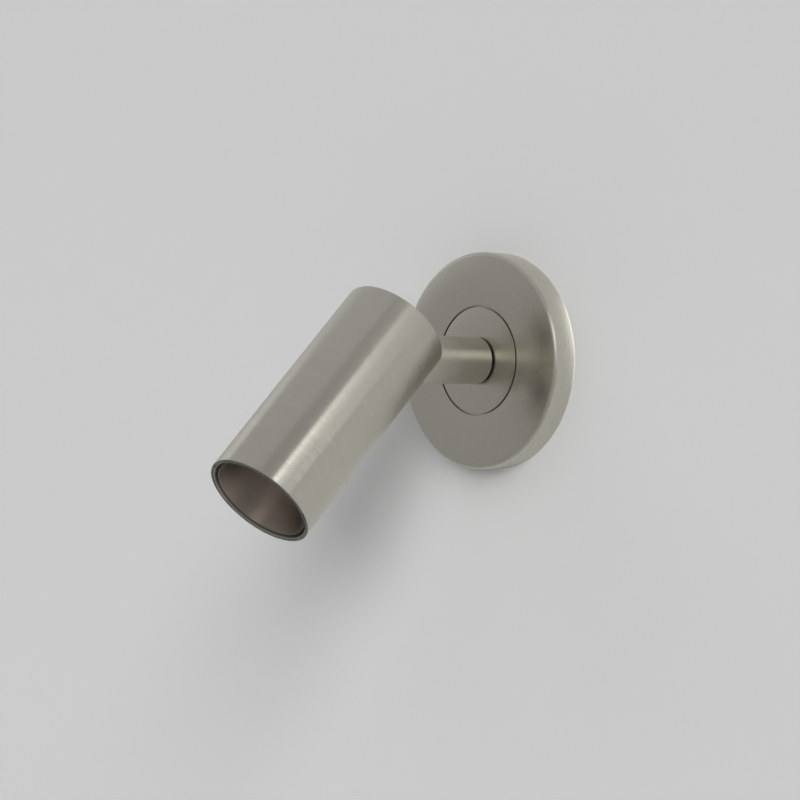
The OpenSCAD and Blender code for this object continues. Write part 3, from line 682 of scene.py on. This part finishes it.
def dress(thing: bpy.types.Object, surface: Surface) -> None:
    """Puts one finish on every material slot of an object.

    Args:
        thing: The object.
        surface: The finish.
    """
    material = surface.material()
    if not thing.material_slots:
        thing.data.materials.append(material)
    for holder in thing.material_slots:
        holder.link = "OBJECT"
        holder.material = material


def smooth(piece: bpy.types.Object) -> None:
    """Shades a piece smooth, with its sharp edges kept."""
    piece.data.shade_smooth()
    piece.data.set_sharp_from_angle(angle=SHARP_ANGLE)


@dataclass
class Assembly:
    """A sub-assembly that rides on one body."""

    body: Body
    place: Place
    made: list[bpy.types.Object] = field(default_factory=list)

    def turned(self, name: str, node: str, turning: Turning, surface: Surface, slot: Finish,
               cutters: list[bmesh.types.BMesh] | None = None) -> bpy.types.Object:
        """Makes a turned piece that stands for a node.

        Args:
            name: The piece's name.
            node: The node that it stands for.
            turning: Its outline.
            surface: Its finish.
            slot: The record's slot that the finish belongs to. Not used.
            cutters: Shapes to cut from it, in the axis's own frame.

        Returns:
            The piece.
        """
        matrix = LAYOUT.axis(self.place).matrix()
        piece = to_object(moved(turning.build(), matrix), name)
        if cutters:
            carve(piece, [moved(shell, matrix) for shell in cutters])
        smooth(piece)
        dress(piece, surface)
        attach(piece, self.body.value)
        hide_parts(node)
        self.made.append(piece)
        return piece

    def refinish(self, surface: Surface, *nodes: str) -> None:
        """Gives nodes of the frame their finish.

        Args:
            surface: The finish.
            nodes: The nodes' names.
        """
        for node in nodes:
            dress(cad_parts[node], surface)
            self.made.append(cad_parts[node])


@dataclass
class WallUnit(Assembly):
    """The wall plate with its centre disc, and the wiring behind them."""

    body: Body = Body.WALL
    place: Place = Place.WALL_AXIS
    plate_r: float = 55.0
    plate_depth: float = 13.5
    plate_bore_r: float = 52.5
    plate_round: float = 2.0
    ledge_back: float = 10.0
    disc_back: float = 11.5
    seat_r: float = 28.0
    ledge_bore_r: float = 23.25
    disc_r: float = 27.0
    spigot_r: float = 22.95
    spigot_bore_r: float = 19.95
    spigot_back: float = 8.0
    hub_r: float = 13.0
    hub_back: float = 9.0
    bush_r: float = 9.05
    bush_bore_r: float = 8.05
    flange_r: float = 10.6
    flange_out: float = 14.65
    screw_up: float = 5.5
    screw_out: float = 54.0
    screw_hole_r: float = 2.1
    hole_steps: int = 48
    drill_reach: float = 4.0
    edge_round: float = 0.15
    rear_round: float = 0.25

    def build_plate(self) -> None:
        """Makes the hollow plate with its soft front edge and its two screw holes."""
        outline = [(self.plate_r, 0.0), (self.plate_r, self.plate_depth), (self.seat_r, self.plate_depth),
                   (self.seat_r, self.disc_back), (self.ledge_bore_r, self.disc_back),
                   (self.ledge_bore_r, self.ledge_back), (self.plate_bore_r, self.ledge_back),
                   (self.plate_bore_r, 0.0)]
        rounds = [(self.plate_r, self.plate_depth, self.plate_round),
                  (self.seat_r, self.plate_depth, self.edge_round), (self.plate_r, 0.0, self.rear_round)]
        holes = [moved(bar(self.screw_hole_r, -self.drill_reach, self.drill_reach, self.hole_steps),
                       across_at(side * self.screw_out, self.screw_up)) for side in (1, -1)]
        self.turned("plate_shell", "wall_plate", Turning(outline, OUTER_STEPS, rounds),
                    nickel(self.place, False), Finish.NICKEL, holes)

    def build_disc(self) -> None:
        """Makes the flush centre disc with its spigot and its hub."""
        outline = [(self.disc_r, self.disc_back), (self.disc_r, self.plate_depth),
                   (self.bush_r, self.plate_depth), (self.bush_r, self.hub_back), (self.hub_r, self.hub_back),
                   (self.hub_r, self.disc_back), (self.spigot_bore_r, self.disc_back),
                   (self.spigot_bore_r, self.spigot_back), (self.spigot_r, self.spigot_back),
                   (self.spigot_r, self.disc_back)]
        rounds = [(self.disc_r, self.plate_depth, self.edge_round)]
        self.turned("disc_face", "centre_disc", Turning(outline, AXIS_STEPS, rounds),
                    nickel(self.place, False), Finish.NICKEL)

    def build_bush(self) -> None:
        """Makes the flanged bush, whose flange is the dark line at the stem's base."""
        outline = [(self.bush_r, self.hub_back), (self.bush_r, self.plate_depth),
                   (self.flange_r, self.plate_depth), (self.flange_r, self.flange_out),
                   (self.bush_bore_r, self.flange_out), (self.bush_bore_r, self.hub_back)]
        self.turned("bush_ring", "swivel_bush", Turning(outline, BUSH_STEPS), PALETTE.black_plastic,
                    Finish.BLACK_PLASTIC)

    def build(self) -> None:
        """Builds and dresses the wall unit."""
        self.build_plate()
        self.build_disc()
        self.build_bush()
        self.refinish(PALETTE.zinc, "backplate", "disc_ring_nut")
        self.refinish(PALETTE.rubber, "cable_grommet")
        self.refinish(PALETTE.white_plastic, "terminal_block")
        self.refinish(PALETTE.brass, "terminal_sleeves", "earth_lug", "earth_screw")
        self.refinish(PALETTE.steel, "terminal_screws", "terminal_block_screws", "plate_screws",
                      "swivel_stop_pin")
        self.refinish(PALETTE.lead, "plate_leads")
        self.refinish(PALETTE.earth, "earth_lead")


@dataclass
class Stem(Assembly):
    """The short stem, and what turns with it."""

    body: Body = Body.STEM
    place: Place = Place.WALL_AXIS
    stem_r: float = 12.0
    bore_r: float = 10.0
    base: float = 14.7
    floor: float = 19.7
    front: float = 66.0
    nipple_hole_r: float = 8.05
    screw_up: float = 52.0
    screw_out: float = 11.0
    screw_hole_r: float = 1.5
    hole_steps: int = 32
    drill_reach: float = 2.0
    base_round: float = 0.2
    front_round: float = 0.1

    def build_tube(self) -> None:
        """Makes the stem tube with its closed end and the screw hole under it."""
        outline = [(self.stem_r, self.base), (self.stem_r, self.front), (self.bore_r, self.front),
                   (self.bore_r, self.floor), (self.nipple_hole_r, self.floor),
                   (self.nipple_hole_r, self.base)]
        rounds = [(self.stem_r, self.base, self.base_round), (self.stem_r, self.front, self.front_round)]
        hole = moved(bar(self.screw_hole_r, -self.drill_reach, self.drill_reach, self.hole_steps),
                     across_at(-self.screw_out, self.screw_up))
        self.turned("stem_shell", "stem_tube", Turning(outline, AXIS_STEPS, rounds), nickel(self.place),
                    Finish.NICKEL, [hole])

    def build(self) -> None:
        """Builds and dresses the stem."""
        self.build_tube()
        self.refinish(nickel(self.place), "stem_knuckle")
        self.refinish(PALETTE.steel, "knuckle_screw", "swivel_tab_washer", "swivel_spring_washer")
        self.refinish(PALETTE.brass, "swivel_nipple", "swivel_nut")
        self.refinish(PALETTE.lead, "stem_leads")


@dataclass
class Head(Assembly):
    """The tube head with its rear cap, its baffle and the lamp in it."""

    body: Body = Body.HEAD
    place: Place = Place.HEAD_AXIS
    head_r: float = 27.5
    bore_r: float = 25.5
    length: float = 119.0
    rear_round: float = 0.8
    mouth_round: float = 0.3
    mouth_inner_round: float = 0.25
    slot_r: float = 12.5
    cap_back: float = 0.6
    cap_front: float = 2.6
    skirt_front: float = 8.0
    skirt_w: float = 1.5
    cap_round: float = 0.2
    cap_gap: float = 0.05
    screw_height: float = 41.0
    screw_angle: float = 25.0
    screw_hole_r: float = 2.75
    hole_steps: int = 40
    drill_depth: float = 4.0
    baffle_front: float = 118.2
    baffle_back: float = 97.35
    baffle_r: float = 24.4
    baffle_step: float = 0.4
    baffle_straight: float = 9.0
    baffle_lip: float = 0.9
    baffle_round: float = 0.12
    baffle_inner_round: float = 0.2
    throat_r: float = 19.5
    ring_low: float = 111.65
    ring_high: float = 113.65

    def slot_cutter(self) -> bmesh.types.BMesh:
        """Gives the stem's slot in the tube, from its rear end to its round end at the pivot."""
        slot = keyhole(self.slot_r, LAYOUT.pivot_back + OVERSHOOT_MM, 0.0, self.head_r + OVERSHOOT_MM)
        return moved(slot, across_at(0.0, LAYOUT.pivot_back))

    def build_tube(self) -> None:
        """Makes the head tube with its slot and its two screw holes at the wall side."""
        outline = [(self.head_r, 0.0), (self.head_r, self.length), (self.bore_r, self.length),
                   (self.bore_r, 0.0)]
        rounds = [(self.head_r, 0.0, self.rear_round), (self.head_r, self.length, self.mouth_round),
                  (self.bore_r, self.length, self.mouth_inner_round)]
        low, high = self.head_r - self.drill_depth, self.head_r + OVERSHOOT_MM
        holes = [moved(bar(self.screw_hole_r, low, high, self.hole_steps),
                       across_at(0.0, self.screw_height, side * self.screw_angle)) for side in (-1, 1)]
        tube = self.turned(HEAD_SHELL, "head_tube", Turning(outline, OUTER_STEPS, rounds), nickel(self.place),
                           Finish.NICKEL, [self.slot_cutter(), *holes])
        # The rim face gets a near-black finish: painted shade for the dark that it reflects.
        self.paint_front_shade(tube, self.length, PALETTE.nickel_rim_shade)

    def paint_front_shade(self, piece: bpy.types.Object, height: float, surface: Surface) -> None:
        """Gives the flat front face of a turned piece a darker finish, which is painted shade.

        Args:
            piece: The piece.
            height: The face's height along the axis.
            surface: The dark finish of painted shade for the face.
        """
        piece.data.materials.append(surface.material())
        axis = LAYOUT.axis(self.place)
        along, start = axis.direction(), axis.origin()
        near_flat, tolerance_mm = 0.98, 0.1
        lowest = (height - tolerance_mm) * MM
        for face in piece.data.polygons:
            if face.normal.dot(along) > near_flat and (face.center - start).dot(along) > lowest:
                face.material_index = len(piece.data.materials) - 1

    def build_cap(self) -> None:
        """Makes the rear cap with its skirt and the stem's notch."""
        outer = self.bore_r - self.cap_gap
        inner = self.bore_r - self.skirt_w
        outline = [(0.0, self.cap_back), (outer, self.cap_back), (outer, self.skirt_front),
                   (inner, self.skirt_front), (inner, self.cap_front), (0.0, self.cap_front)]
        rounds = [(outer, self.cap_back, self.cap_round)]
        self.turned("cap_face", "rear_cap", Turning(outline, AXIS_STEPS, rounds), nickel(self.place),
                    Finish.NICKEL, [keyhole(self.slot_r, self.head_r, -OVERSHOOT_MM, LAYOUT.pivot_back)])

    def build_baffle(self) -> None:
        """Makes the brown cone in the mouth and the dark ring that holds it."""
        step = self.baffle_r - self.baffle_step
        middle = self.baffle_front - self.baffle_straight / 2
        outline = [(self.baffle_r, self.baffle_front), (self.baffle_r, middle), (step, middle),
                   (step, self.baffle_front - self.baffle_straight),
                   (self.throat_r + self.baffle_lip, self.baffle_back), (self.throat_r, self.baffle_back),
                   (self.baffle_r - self.baffle_lip, self.baffle_front)]
        rounds = [(self.baffle_r, self.baffle_front, self.baffle_round),
                  (self.baffle_r - self.baffle_lip, self.baffle_front, self.baffle_inner_round)]
        cone = self.turned("baffle_cone", "baffle", Turning(outline, AXIS_STEPS, rounds), PALETTE.bronze,
                           Finish.BRONZE)
        # The lip face gets a near-black finish: painted shade for the gap between tube and baffle.
        self.paint_front_shade(cone, self.baffle_front, PALETTE.bronze_lip_shade)
        outer, inner = self.bore_r - self.cap_gap, step + self.cap_gap
        ring = [(outer, self.ring_low), (outer, self.ring_high), (inner, self.ring_high),
                (inner, self.ring_low)]
        self.turned("baffle_seal", "baffle_ring", Turning(ring), PALETTE.rubber, Finish.RUBBER)

    def build(self) -> None:
        """Builds and dresses the head."""
        self.build_tube()
        self.build_cap()
        self.build_baffle()
        self.refinish(PALETTE.zinc, "lamp_carrier")
        self.refinish(PALETTE.steel, "carrier_screws", "pivot_bolt", "pivot_spring_washer", "pivot_nut",
                      "holder_screws", "lamp_pins")
        self.refinish(PALETTE.white_plastic, "friction_washers", "lamp_base", "lamp_board")
        self.refinish(PALETTE.rubber, "lead_grommets")
        self.refinish(PALETTE.lead, "head_leads")
        self.refinish(PALETTE.ceramic, "lamp_holder")
        self.refinish(PALETTE.brass, "holder_contacts")
        self.refinish(PALETTE.shell, "lamp_body")
        self.refinish(PALETTE.lens, "lamp_lens")


# Studio


@dataclass(frozen=True)
class Sun:
    """A soft lamp that is far away: its direction from the part, its strength and how wide it looks."""

    name: str
    towards: tuple[float, float, float]
    strength: float
    spread_deg: float
    on_matt: bool = True
    on_gloss: bool = True


@dataclass(frozen=True)
class Card:
    """A lit card near the part, which only glossy surfaces show. Its long sides run along the head."""

    name: str
    place_mm: tuple[float, float, float]
    target_mm: tuple[float, float, float]
    across_mm: float
    along_mm: float
    radiance: float
    beam_deg: float = 180.0


BACK_SUN = Sun("behind", (0.05, 0.98, 0.15), 2.0, 40.0)
STEM_SUN = Sun("sheen_front", (0.58, -0.74, 0.34), 0.25, 30.0, on_matt=False)
MOUTH_SUN = Sun("sheen_mouth", (0.55, -0.81, 0.20), 0.13, 34.0, on_matt=False)

SUNS = (
    Sun("key_low", (0.60, -0.77, 0.20), 1.27, 22.0, on_gloss=False),
    Sun("key_middle", (0.73, -0.54, 0.43), 0.98, 22.0, on_gloss=False),
    Sun("key_high", (0.70, -0.30, 0.65), 0.48, 22.0, on_gloss=False),
    Sun("fill_left", (-0.55, -0.50, 0.66), 0.42, 50.0, on_gloss=False),
    Sun("fill_top", (0.15, -0.62, 0.77), 0.28, 40.0, on_gloss=False),
    Sun("sheen_right", (0.84, -0.07, 0.53), 0.11, 24.0, on_matt=False),
    Sun("sheen_top", (-0.32, -0.42, 0.85), 0.155, 80.0, on_matt=False),
)

CARDS = (
    Card("band_right_wide", (350.0, -155.0, 105.0), (0.0, -155.0, 105.0), 283.0, 170.0, 0.45),
    Card("band_right_high", (350.0, -161.0, 141.0), (0.0, -161.0, 141.0), 224.0, 212.0, 0.20),
    Card("glint_right", (350.0, -263.0, 143.0), (0.0, -160.0, -74.0), 77.0, 120.0, 0.040, 26.0),
    Card("band_left", (-400.0, -208.5, 188.5), (0.0, -208.5, 188.5), 230.0, 220.0, 0.37),
)


@dataclass
class Studio:
    """The wall behind the light, the floor far below it, the lamps and the camera."""

    wall_grey: tuple[float, float, float] = (0.60, 0.60, 0.60)
    floor_grey: tuple[float, float, float] = (0.72, 0.72, 0.71)
    floor_mirrored: float = 0.65
    room_grey: tuple[float, float, float] = (0.20, 0.20, 0.20)
    gloss_grey: tuple[float, float, float] = (0.37, 0.37, 0.37)
    pale_grey: tuple[float, float, float] = (0.60, 0.60, 0.60)
    paint_roughness: float = 0.9
    paint_specular: float = 0.1
    wall_gap_mm: float = 0.3
    half_width_m: float = 4.0
    wall_middle_m: float = 2.8
    floor_level_m: float = -1.2
    azimuth: float = 47.295
    elevation: float = 0.493
    roll: float = 1.151
    focal_px: float = 2554.6
    image_px: float = 800.0
    sensor_mm: float = 36.0
    distance_mm: float = 1354.5
    target_mm: tuple[float, float, float] = (-71.578, 0.0, -21.246)

    def back(self) -> Vector:
        """Gives the direction from what the camera looks at to the camera."""
        turn, rise = math.radians(self.azimuth), math.radians(self.elevation)
        return Vector((math.sin(turn) * math.cos(rise), -math.cos(turn) * math.cos(rise), math.sin(rise)))

    def build_camera(self) -> None:
        """Makes the camera at the photograph's viewing angle."""
        back = self.back()
        turn = math.radians(self.azimuth)
        level = Vector((math.cos(turn), math.sin(turn), 0.0))
        upright = back.cross(level)
        lean = math.radians(self.roll)
        right = level * math.cos(lean) + upright * math.sin(lean)
        up = upright * math.cos(lean) - level * math.sin(lean)
        lens = bpy.data.cameras.new("camera")
        lens.sensor_width = self.sensor_mm
        lens.lens = self.focal_px * self.sensor_mm / self.image_px
        camera = bpy.data.objects.new("camera", lens)
        place = (Vector(self.target_mm) + back * self.distance_mm) * MM
        camera.matrix_world = Matrix.Translation(place) @ Matrix((right, up, back)).transposed().to_4x4()
        bpy.context.scene.collection.objects.link(camera)
        bpy.context.scene.camera = camera

    def plain_material(self, name: str, colour: tuple[float, float, float], mirrored: float,
                       one_sided: bool) -> bpy.types.Material:
        """Makes a matt painted surface of the studio.

        Args:
            name: The material's name.
            colour: Its colour.
            mirrored: How much of that colour glossy surfaces show of it.
            one_sided: Whether the camera sees through it from behind.

        Returns:
            The material.
        """
        material = bpy.data.materials.new(name)
        material.use_nodes = True
        net = Net(material.node_tree)
        paint = net.add("BsdfPrincipled")
        tone = net.add("RGB")
        tone.outputs[0].default_value = (*colour, 1.0)
        dim = net.add("RGB")
        dim.outputs[0].default_value = (*(value * mirrored for value in colour), 1.0)
        path = net.add("LightPath")
        shown = net.blend(path.outputs["Is Glossy Ray"], tone.outputs[0], dim.outputs[0])
        net.link(shown, paint.inputs["Base Color"])
        paint.inputs["Roughness"].default_value = self.paint_roughness
        paint.inputs["Specular IOR Level"].default_value = self.paint_specular
        output = net.add("OutputMaterial")
        if not one_sided:
            net.link(paint.outputs[0], output.inputs["Surface"])
            return material
        clear = net.add("BsdfTransparent")
        face = net.add("NewGeometry")
        hidden = net.maths("MULTIPLY", face.outputs["Backfacing"], path.outputs["Is Camera Ray"])
        net.link(net.blend_shaders(hidden, paint.outputs[0], clear.outputs[0]), output.inputs["Surface"])
        return material

    def build_room(self) -> None:
        """Makes the wall just behind the plate and the floor far below."""
        upright = Matrix.Rotation(QUARTER_TURN, 4, "X")
        wall_place = Matrix.Translation((0.0, self.wall_gap_mm * MM, self.wall_middle_m)) @ upright
        floor_place = Matrix.Translation((0.0, -self.half_width_m, self.floor_level_m))
        for name, place, colour, mirrored, one_sided in (
                ("studio_wall", wall_place, self.wall_grey, 1.0, True),
                ("studio_floor", floor_place, self.floor_grey, self.floor_mirrored, False)):
            shell = bmesh.new()
            bmesh.ops.create_grid(shell, x_segments=1, y_segments=1, size=self.half_width_m)
            thing = to_object(moved(shell, place), name)
            thing.data.materials.append(self.plain_material(name, colour, mirrored, one_sided))

    def build_world(self) -> None:
        """Makes the even light of the room, with a pale background for the camera."""
        world = bpy.data.worlds.new("studio_room")
        bpy.context.scene.world = world
        world.use_nodes = True
        net = Net(world.node_tree)
        greys = []
        for grey in (self.room_grey, self.gloss_grey, self.pale_grey):
            light = net.add("Background")
            light.inputs["Color"].default_value = (*grey, 1.0)
            greys.append(light.outputs[0])
        room, sheen, pale = greys
        path = net.add("LightPath")
        shiny = net.blend_shaders(path.outputs["Is Glossy Ray"], room, sheen)
        output = net.add("OutputWorld")
        net.link(net.blend_shaders(path.outputs["Is Camera Ray"], shiny, pale), output.inputs["Surface"])

    def add_sun(self, sun: Sun) -> bpy.types.Object:
        """Adds a soft lamp that is far away.

        Args:
            sun: What the lamp is like.

        Returns:
            The lamp's object.
        """
        lamp = bpy.data.lights.new(sun.name, "SUN")
        lamp.energy = sun.strength
        lamp.angle = math.radians(sun.spread_deg)
        thing = bpy.data.objects.new(sun.name, lamp)
        thing.rotation_mode = "QUATERNION"
        thing.rotation_quaternion = Vector(sun.towards).to_track_quat("Z", "Y")
        thing.visible_diffuse = sun.on_matt
        thing.visible_glossy = sun.on_gloss
        bpy.context.scene.collection.objects.link(thing)
        return thing

    def add_card(self, card: Card) -> bpy.types.Object:
        """Adds a lit card that only glossy surfaces show.

        Args:
            card: What the card is like.

        Returns:
            The card's object.
        """
        lamp = bpy.data.lights.new(card.name, "AREA")
        lamp.shape = "RECTANGLE"
        lamp.size = card.across_mm * MM
        lamp.size_y = card.along_mm * MM
        lamp.spread = math.radians(card.beam_deg)
        lamp.energy = card.radiance * math.pi * lamp.size * lamp.size_y
        thing = bpy.data.objects.new(card.name, lamp)
        place = Vector(card.place_mm) * MM
        rear = (place - Vector(card.target_mm) * MM).normalized()
        head = LAYOUT.axis(Place.HEAD_AXIS).direction()
        along = (head - rear * head.dot(rear)).normalized()
        turn = Matrix((along.cross(rear), along, rear)).transposed()
        thing.matrix_world = Matrix.Translation(place) @ turn.to_4x4()
        thing.visible_diffuse = False
        thing.visible_camera = False
        bpy.context.scene.collection.objects.link(thing)
        return thing

    def build(self) -> None:
        """Builds the studio."""
        bpy.context.scene.view_settings.view_transform = "Standard"
        self.build_camera()
        self.build_room()
        self.build_world()
        for sun in SUNS:
            self.add_sun(sun)
        for card in CARDS:
            self.add_card(card)

    def light_some(self, sun: Sun, pieces: list[bpy.types.Object]) -> bpy.types.Object:
        """Adds a sun that lights only some pieces.

        Args:
            sun: What the lamp is like.
            pieces: The pieces that it lights.

        Returns:
            The lamp's object.
        """
        lit = bpy.data.collections.new("lit_by_" + sun.name)
        for piece in pieces:
            lit.objects.link(piece)
        lamp = self.add_sun(sun)
        lamp.light_linking.receiver_collection = lit
        return lamp

    def light_the_back(self, pieces: list[bpy.types.Object]) -> None:
        """Lights the part's back through the wall, which only a view from behind shows.

        Args:
            pieces: The pieces of the wall unit.
        """
        lamp = self.light_some(BACK_SUN, pieces)
        lamp.light_linking.blocker_collection = lamp.light_linking.receiver_collection

    def light_past_the_head(self, pieces: list[bpy.types.Object], mouth: list[bpy.types.Object]) -> None:
        """Gives the stem and the mouth their sheen, with none on the head's tube.

        Args:
            pieces: The pieces of the wall unit and the stem.
            mouth: The pieces of the head, of which the tube isn't lit.
        """
        self.light_some(STEM_SUN, pieces)
        self.light_some(MOUTH_SUN, [piece for piece in mouth if piece.name != HEAD_SHELL])


def main() -> None:
    """Builds the studio and the wall light, and reports each piece."""
    logging.basicConfig(level=logging.INFO, format="%(message)s")
    studio = Studio()
    studio.build()
    wall_unit, stem, head = WallUnit(), Stem(), Head()
    for assembly in (wall_unit, stem, head):
        assembly.build()
        for piece in assembly.made:
            LOG.info("%s: %s", assembly.body.value, piece.name)
    studio.light_the_back(wall_unit.made)
    studio.light_past_the_head(wall_unit.made + stem.made, head.made)


if __name__ == "__main__":
    main()
